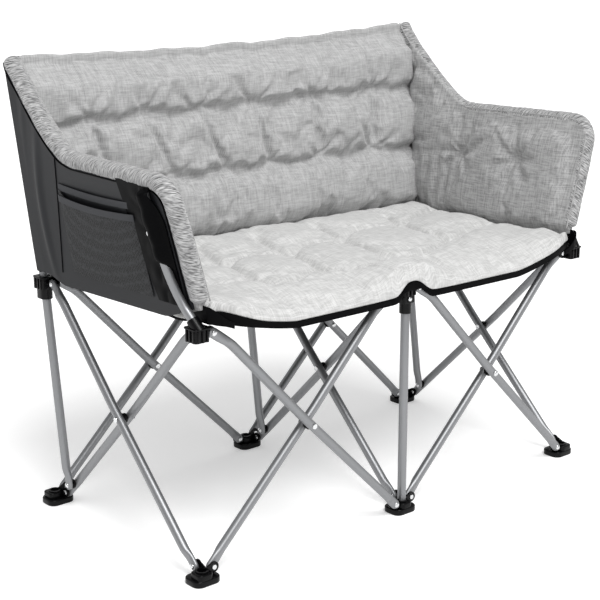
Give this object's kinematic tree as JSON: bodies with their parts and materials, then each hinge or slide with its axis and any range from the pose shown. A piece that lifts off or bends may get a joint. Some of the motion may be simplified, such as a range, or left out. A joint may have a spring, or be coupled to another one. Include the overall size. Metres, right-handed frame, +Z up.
{
  "type": "folding camping loveseat",
  "caption": "Wide padded camp chair for two on a collapsible frame of scissor tube legs with moulded hubs and feet; the whole frame folds to a tall narrow bundle",
  "frame": {"origin": "on the floor, under the middle of the open sofa", "axes": "+X to the right seen from the front, +Y towards the back rest, +Z up"},
  "size_m": [1.066, 0.5524, 0.838],
  "materials": {
    "steel_tube": "smooth grey powder coat",
    "rivet": "bright domed rivet",
    "black_plastic": "moulded, slightly glossy",
    "shell_cloth": "coated Oxford weave",
    "back_cloth": "mid-grey linen weave, padded",
    "seat_cloth": "light grey plush, padded",
    "side_cloth": "grey melange weave, padded",
    "net": "black elastic net"
  },
  "bodies": {
    "base": {"front_centre_foot": "black_plastic"},
    "front_left_leg_outer": {"front_left_leg_outer": "steel_tube", "front_left_spacer": "black_plastic", "front_left_pivot": "rivet"},
    "front_left_leg_inner": {"front_left_leg_inner": "steel_tube"},
    "front_left_hub": {"front_left_hub": "black_plastic", "left_arm_tube": "steel_tube", "left_side_sheet": "shell_cloth", "left_side_pad": "side_cloth", "left_side_pocket": "net"},
    "front_left_foot": {"front_left_foot": "black_plastic"},
    "front_centre_hub": {"front_centre_hub": "black_plastic", "front_centre_post": "steel_tube"},
    "front_right_leg_inner": {"front_right_leg_inner": "steel_tube", "front_right_spacer": "black_plastic", "front_right_pivot": "rivet"},
    "front_right_leg_outer": {"front_right_leg_outer": "steel_tube"},
    "front_right_hub": {"front_right_hub": "black_plastic", "right_arm_tube": "steel_tube", "right_side_sheet": "shell_cloth", "right_side_pad": "side_cloth"},
    "front_right_foot": {"front_right_foot": "black_plastic"},
    "middle_leg_left": {"middle_leg_left": "steel_tube", "middle_spacer": "black_plastic", "middle_pivot": "rivet"},
    "middle_leg_right": {"middle_leg_right": "steel_tube"},
    "back_centre_hub": {"back_centre_hub": "black_plastic"},
    "back_centre_foot": {"back_centre_foot": "black_plastic"},
    "back_centre_post": {"back_centre_post": "steel_tube", "back_centre_post_spacer": "black_plastic"},
    "left_side_leg_outer": {"left_side_leg_outer": "steel_tube", "left_side_spacer": "black_plastic", "left_side_pivot": "rivet"},
    "left_side_leg_inner": {"left_side_leg_inner": "steel_tube"},
    "back_left_hub": {"back_left_hub": "black_plastic"},
    "back_left_foot": {"back_left_foot": "black_plastic"},
    "back_left_post": {"back_left_post": "steel_tube", "back_left_post_spacer": "black_plastic"},
    "right_side_leg_inner": {"right_side_leg_inner": "steel_tube", "right_side_spacer": "black_plastic", "right_side_pivot": "rivet"},
    "right_side_leg_outer": {"right_side_leg_outer": "steel_tube"},
    "back_right_hub": {"back_right_hub": "black_plastic"},
    "back_right_foot": {"back_right_foot": "black_plastic"},
    "back_right_post": {"back_right_post": "steel_tube", "back_right_post_spacer": "black_plastic"},
    "back_left_leg_inner": {"back_left_leg_inner": "steel_tube", "back_left_spacer": "black_plastic", "back_left_pivot": "rivet"},
    "back_left_leg_outer": {"back_left_leg_outer": "steel_tube"},
    "back_right_leg_outer": {"back_right_leg_outer": "steel_tube", "back_right_spacer": "black_plastic", "back_right_pivot": "rivet"},
    "back_right_leg_inner": {"back_right_leg_inner": "steel_tube"},
    "seat_front": {"seat_pad_front": "seat_cloth", "seat_sheet_front": "shell_cloth"},
    "seat_back": {"seat_pad_back": "seat_cloth", "seat_sheet_back": "shell_cloth"},
    "back": {"back_pad": "back_cloth", "back_sheet": "shell_cloth"}
  },
  "joints": [
    {"name": "frame_fold", "type": "hinge", "parent": "base", "child": "front_left_leg_outer", "pos_m": [-0.024, -0.26018, 0.022], "axis": [0, 1, 0], "range_deg": [0, 35.6], "deforming": ["seat_pad_front", "seat_sheet_front", "seat_pad_back", "seat_sheet_back", "back_pad", "back_sheet", "left_side_sheet", "left_side_pad", "left_side_pocket", "right_side_sheet", "right_side_pad"]},
    {"name": "front_left_hub_pivot", "type": "hinge", "parent": "front_left_leg_outer", "child": "front_left_hub", "pos_m": [-0.436, -0.26018, 0.425], "axis": [0, 1, 0], "range_deg": [-35.6, 0]},
    {"name": "front_left_scissor", "type": "hinge", "parent": "front_left_leg_outer", "child": "front_left_leg_inner", "pos_m": [-0.23, -0.26018, 0.2235], "axis": [0, 1, 0], "range_deg": [-71.2, 0]},
    {"name": "front_left_foot_pivot", "type": "hinge", "parent": "front_left_leg_inner", "child": "front_left_foot", "pos_m": [-0.436, -0.24019, 0.022], "axis": [0, 1, 0], "range_deg": [0, 35.6]},
    {"name": "front_centre_hub_pivot", "type": "hinge", "parent": "front_left_leg_inner", "child": "front_centre_hub", "pos_m": [-0.024, -0.24019, 0.425], "axis": [0, 1, 0], "range_deg": [0, 35.6]},
    {"name": "front_right_leg_pivot", "type": "hinge", "parent": "base", "child": "front_right_leg_inner", "pos_m": [0.024, -0.24019, 0.022], "axis": [0, 1, 0], "range_deg": [-35.6, 0]},
    {"name": "front_right_hub_pivot", "type": "hinge", "parent": "front_right_leg_inner", "child": "front_right_hub", "pos_m": [0.436, -0.24019, 0.425], "axis": [0, 1, 0], "range_deg": [0, 35.6]},
    {"name": "front_right_scissor", "type": "hinge", "parent": "front_right_leg_inner", "child": "front_right_leg_outer", "pos_m": [0.23, -0.24019, 0.2235], "axis": [0, 1, 0], "range_deg": [0, 71.2]},
    {"name": "front_right_foot_pivot", "type": "hinge", "parent": "front_right_leg_outer", "child": "front_right_foot", "pos_m": [0.436, -0.26018, 0.022], "axis": [0, 1, 0], "range_deg": [-35.6, 0]},
    {"name": "middle_leg_pivot", "type": "hinge", "parent": "base", "child": "middle_leg_left", "pos_m": [0, -0.22618, 0.022], "axis": [1, 0, 0], "range_deg": [0, 35.6]},
    {"name": "back_centre_hub_pivot", "type": "hinge", "parent": "middle_leg_left", "child": "back_centre_hub", "pos_m": [0, 0.18582, 0.425], "axis": [1, 0, 0], "range_deg": [-35.6, 0]},
    {"name": "middle_scissor", "type": "hinge", "parent": "middle_leg_left", "child": "middle_leg_right", "pos_m": [0, -0.02019, 0.2235], "axis": [1, 0, 0], "range_deg": [-71.2, 0]},
    {"name": "back_centre_foot_pivot", "type": "hinge", "parent": "middle_leg_right", "child": "back_centre_foot", "pos_m": [0.02, 0.18582, 0.022], "axis": [1, 0, 0], "range_deg": [0, 35.6]},
    {"name": "back_centre_post_pivot", "type": "hinge", "parent": "middle_leg_right", "child": "back_centre_post", "pos_m": [0, 0.16008, 0.04717], "axis": [1, 0, 0], "range_deg": [0, 39.99]},
    {"name": "left_side_leg_pivot", "type": "hinge", "parent": "front_left_foot", "child": "left_side_leg_outer", "pos_m": [-0.46, -0.22618, 0.022], "axis": [1, 0, 0], "range_deg": [0, 35.6]},
    {"name": "back_left_hub_pivot", "type": "hinge", "parent": "left_side_leg_outer", "child": "back_left_hub", "pos_m": [-0.46, 0.18582, 0.425], "axis": [1, 0, 0], "range_deg": [-35.6, 0]},
    {"name": "left_side_scissor", "type": "hinge", "parent": "left_side_leg_outer", "child": "left_side_leg_inner", "pos_m": [-0.46, -0.02019, 0.2235], "axis": [1, 0, 0], "range_deg": [-71.2, 0]},
    {"name": "back_left_foot_pivot", "type": "hinge", "parent": "left_side_leg_inner", "child": "back_left_foot", "pos_m": [-0.44, 0.18582, 0.022], "axis": [1, 0, 0], "range_deg": [0, 35.6]},
    {"name": "back_left_post_pivot", "type": "hinge", "parent": "left_side_leg_inner", "child": "back_left_post", "pos_m": [-0.46, 0.16008, 0.04717], "axis": [1, 0, 0], "range_deg": [0, 39.99]},
    {"name": "right_side_leg_pivot", "type": "hinge", "parent": "front_right_foot", "child": "right_side_leg_inner", "pos_m": [0.46, -0.22618, 0.022], "axis": [1, 0, 0], "range_deg": [0, 35.6]},
    {"name": "back_right_hub_pivot", "type": "hinge", "parent": "right_side_leg_inner", "child": "back_right_hub", "pos_m": [0.46, 0.18582, 0.425], "axis": [1, 0, 0], "range_deg": [-35.6, 0]},
    {"name": "right_side_scissor", "type": "hinge", "parent": "right_side_leg_inner", "child": "right_side_leg_outer", "pos_m": [0.46, -0.02019, 0.2235], "axis": [1, 0, 0], "range_deg": [-71.2, 0]},
    {"name": "back_right_foot_pivot", "type": "hinge", "parent": "right_side_leg_outer", "child": "back_right_foot", "pos_m": [0.48, 0.18582, 0.022], "axis": [1, 0, 0], "range_deg": [0, 35.6]},
    {"name": "back_right_post_pivot", "type": "hinge", "parent": "right_side_leg_outer", "child": "back_right_post", "pos_m": [0.46, 0.16008, 0.04717], "axis": [1, 0, 0], "range_deg": [0, 39.99]},
    {"name": "back_left_leg_pivot", "type": "hinge", "parent": "back_centre_foot", "child": "back_left_leg_inner", "pos_m": [-0.024, 0.19981, 0.022], "axis": [0, 1, 0], "range_deg": [0, 35.6]},
    {"name": "back_left_scissor", "type": "hinge", "parent": "back_left_leg_inner", "child": "back_left_leg_outer", "pos_m": [-0.23, 0.19981, 0.2235], "axis": [0, 1, 0], "range_deg": [-71.2, 0]},
    {"name": "back_right_leg_pivot", "type": "hinge", "parent": "back_centre_foot", "child": "back_right_leg_outer", "pos_m": [0.024, 0.21982, 0.022], "axis": [0, 1, 0], "range_deg": [-35.6, 0]},
    {"name": "back_right_scissor", "type": "hinge", "parent": "back_right_leg_outer", "child": "back_right_leg_inner", "pos_m": [0.23, 0.21982, 0.2235], "axis": [0, 1, 0], "range_deg": [0, 71.2]},
    {"name": "seat_front_fold", "type": "hinge", "parent": "front_centre_hub", "child": "seat_front", "pos_m": [0, -0.25018, 0.445], "axis": [1, 0, 0], "range_deg": [0, 71.2]},
    {"name": "seat_back_fold", "type": "hinge", "parent": "back_centre_hub", "child": "seat_back", "pos_m": [0, 0.20982, 0.445], "axis": [1, 0, 0], "range_deg": [-71.2, 0]},
    {"name": "back_lean", "type": "hinge", "parent": "back_centre_hub", "child": "back", "pos_m": [0, 0.20982, 0.4145], "axis": [1, 0, 0], "range_deg": [0, 4.39]}
  ],
  "couplings": [
    {"joint": "front_left_hub_pivot", "follows": "frame_fold", "ratio": -1},
    {"joint": "front_left_scissor", "follows": "frame_fold", "ratio": -2},
    {"joint": "front_left_foot_pivot", "follows": "frame_fold", "ratio": 1},
    {"joint": "front_centre_hub_pivot", "follows": "frame_fold", "ratio": 1},
    {"joint": "front_right_leg_pivot", "follows": "frame_fold", "ratio": -1},
    {"joint": "front_right_hub_pivot", "follows": "frame_fold", "ratio": 1},
    {"joint": "front_right_scissor", "follows": "frame_fold", "ratio": 2},
    {"joint": "front_right_foot_pivot", "follows": "frame_fold", "ratio": -1},
    {"joint": "middle_leg_pivot", "follows": "frame_fold", "ratio": 1},
    {"joint": "back_centre_hub_pivot", "follows": "frame_fold", "ratio": -1},
    {"joint": "middle_scissor", "follows": "frame_fold", "ratio": -2},
    {"joint": "back_centre_foot_pivot", "follows": "frame_fold", "ratio": 1},
    {"joint": "back_centre_post_pivot", "follows": "frame_fold", "ratio": 1.1233},
    {"joint": "left_side_leg_pivot", "follows": "frame_fold", "ratio": 1},
    {"joint": "back_left_hub_pivot", "follows": "frame_fold", "ratio": -1},
    {"joint": "left_side_scissor", "follows": "frame_fold", "ratio": -2},
    {"joint": "back_left_foot_pivot", "follows": "frame_fold", "ratio": 1},
    {"joint": "back_left_post_pivot", "follows": "frame_fold", "ratio": 1.1233},
    {"joint": "right_side_leg_pivot", "follows": "frame_fold", "ratio": 1},
    {"joint": "back_right_hub_pivot", "follows": "frame_fold", "ratio": -1},
    {"joint": "right_side_scissor", "follows": "frame_fold", "ratio": -2},
    {"joint": "back_right_foot_pivot", "follows": "frame_fold", "ratio": 1},
    {"joint": "back_right_post_pivot", "follows": "frame_fold", "ratio": 1.1233},
    {"joint": "back_left_leg_pivot", "follows": "frame_fold", "ratio": 1},
    {"joint": "back_left_scissor", "follows": "frame_fold", "ratio": -2},
    {"joint": "back_right_leg_pivot", "follows": "frame_fold", "ratio": -1},
    {"joint": "back_right_scissor", "follows": "frame_fold", "ratio": 2},
    {"joint": "seat_front_fold", "follows": "frame_fold", "ratio": 2},
    {"joint": "seat_back_fold", "follows": "frame_fold", "ratio": -2},
    {"joint": "back_lean", "follows": "frame_fold", "ratio": 0.1233}
  ]
}
